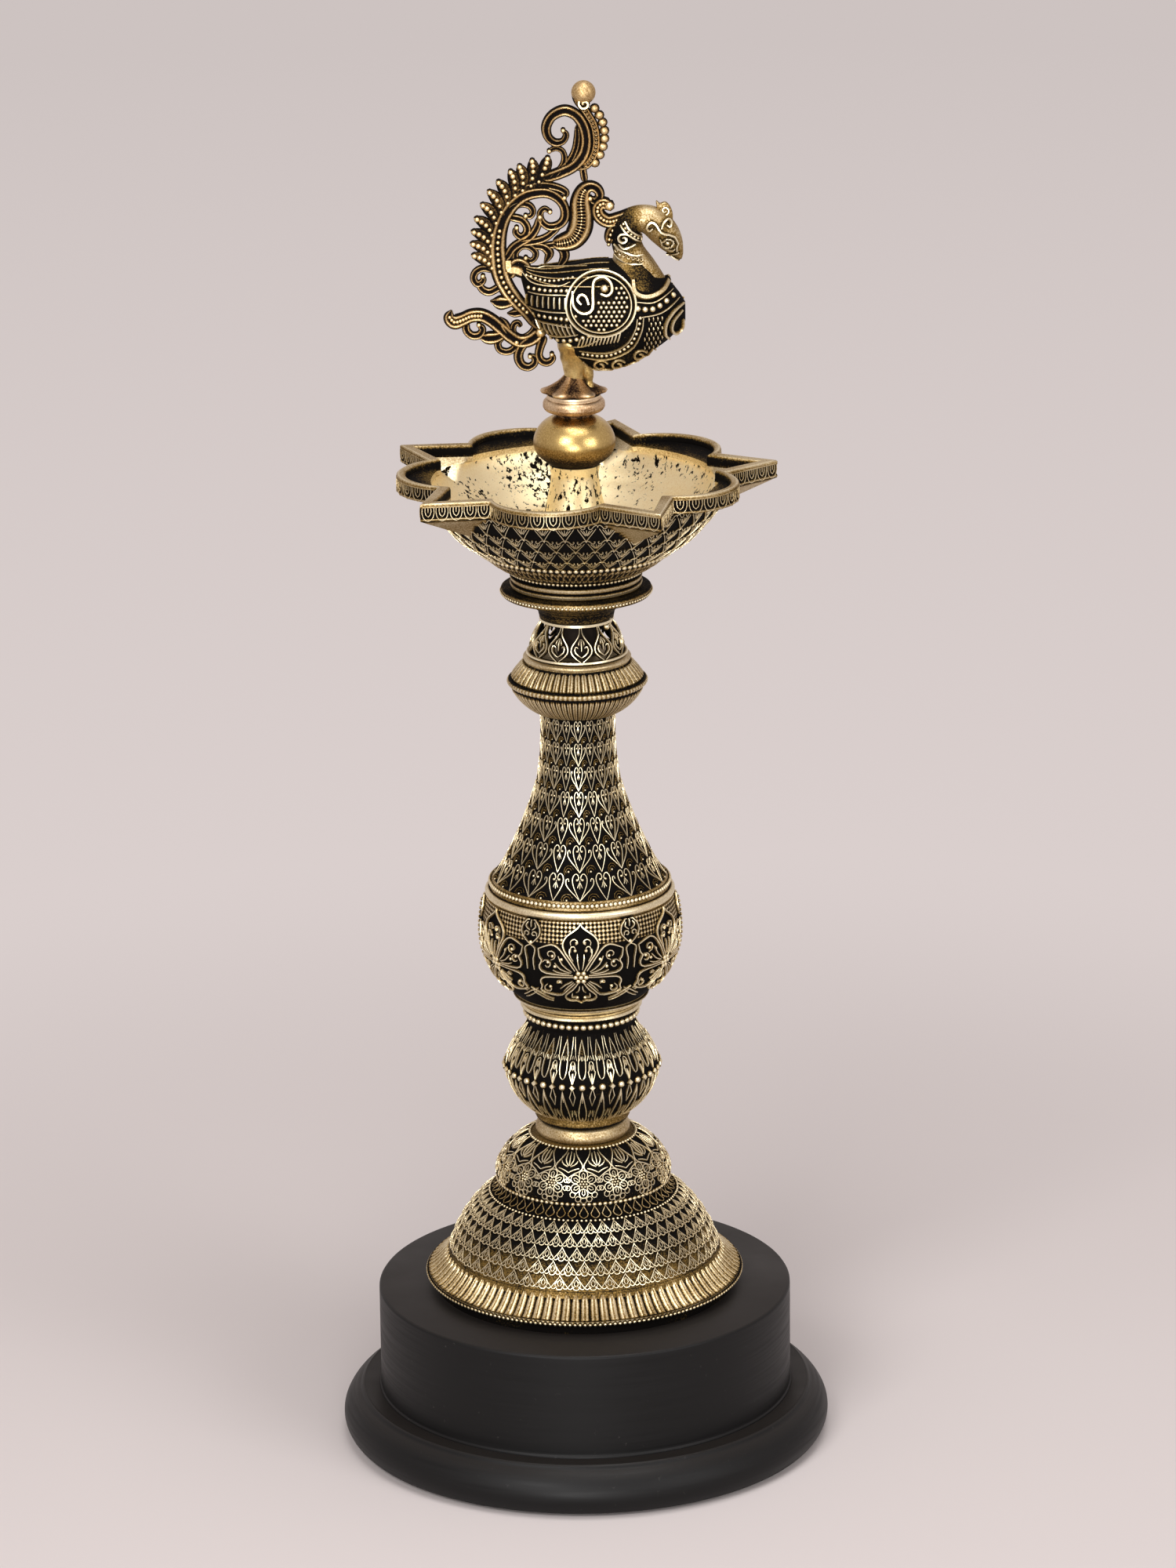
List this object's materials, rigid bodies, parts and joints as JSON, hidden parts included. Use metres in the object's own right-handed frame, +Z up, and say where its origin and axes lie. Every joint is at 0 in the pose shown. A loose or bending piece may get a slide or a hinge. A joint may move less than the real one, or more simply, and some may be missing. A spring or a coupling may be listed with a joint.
{
  "type": "oil lamp",
  "caption": "Tall standing oil lamp: round wooden base, turned metal stem, bowl with pointed wick spouts, and a peacock finial that screws off.",
  "frame": {"origin": "centre of the base, on the surface that the lamp stands on", "axes": "+Z up along the stem, +X the way the peacock looks"},
  "size_m": [0.1558, 0.1558, 0.4387],
  "materials": {
    "antique_brass": "antiqued, dark patina in the recesses",
    "polished_brass": "polished",
    "copper_brass": "polished, coppery",
    "black_wood": "satin black",
    "felt": "felt",
    "steel": "zinc plated"
  },
  "bodies": {
    "stem": {"felt_pad": "felt", "wood_flange": "black_wood", "wood_drum": "black_wood", "base_screws": "steel", "tie_rod": "steel", "rod_washer": "steel", "rod_nut": "steel", "base_dome": "antique_brass", "flower_tier": "antique_brass", "stem_ring": "antique_brass", "lotus_knop": "antique_brass", "vase_foot": "antique_brass", "vase_bulb": "antique_brass", "side_straps": "antique_brass", "vase_belt": "antique_brass", "vase_neck": "antique_brass", "fluted_collar": "antique_brass", "stem_coupler": "steel", "openwork_basket": "antique_brass"},
    "drip_flange": {"drip_flange": "polished_brass"},
    "bowl": {"bowl_stud": "steel", "bowl_foot": "antique_brass", "oil_bowl": "antique_brass", "bowl_column": "polished_brass", "column_ball": "polished_brass"},
    "finial_ring": {"finial_ring": "copper_brass"},
    "peacock": {"finial_stud": "steel", "peacock_pedestal": "copper_brass", "peacock_legs": "antique_brass", "peacock_body": "antique_brass", "peacock_neck_and_head": "antique_brass", "peacock_comb": "antique_brass", "nape_plume": "antique_brass", "tail_fan": "antique_brass", "tail_lower_scroll": "antique_brass", "tail_crest": "antique_brass", "tail_plume": "antique_brass"}
  },
  "joints": [
    {"name": "bowl_lift", "type": "slide", "parent": "stem", "child": "drip_flange", "axis": [0, 0, 1], "range_m": [0, 0.0101]},
    {"name": "bowl_turn", "type": "hinge", "parent": "drip_flange", "child": "bowl", "pos_m": [0, 0, 0.271], "axis": [0, 0, 1], "range_deg": [0, 2880]},
    {"name": "finial_lift", "type": "slide", "parent": "bowl", "child": "finial_ring", "axis": [0, 0, 1], "range_m": [0, 0.0081]},
    {"name": "finial_turn", "type": "hinge", "parent": "finial_ring", "child": "peacock", "pos_m": [0, 0, 0.342], "axis": [0, 0, 1], "range_deg": [0, 2880]}
  ],
  "couplings": [
    {"joint": "bowl_lift", "follows": "bowl_turn", "m_per_rad": 0.00019894},
    {"joint": "finial_lift", "follows": "finial_turn", "m_per_rad": 0.00015915}
  ]
}
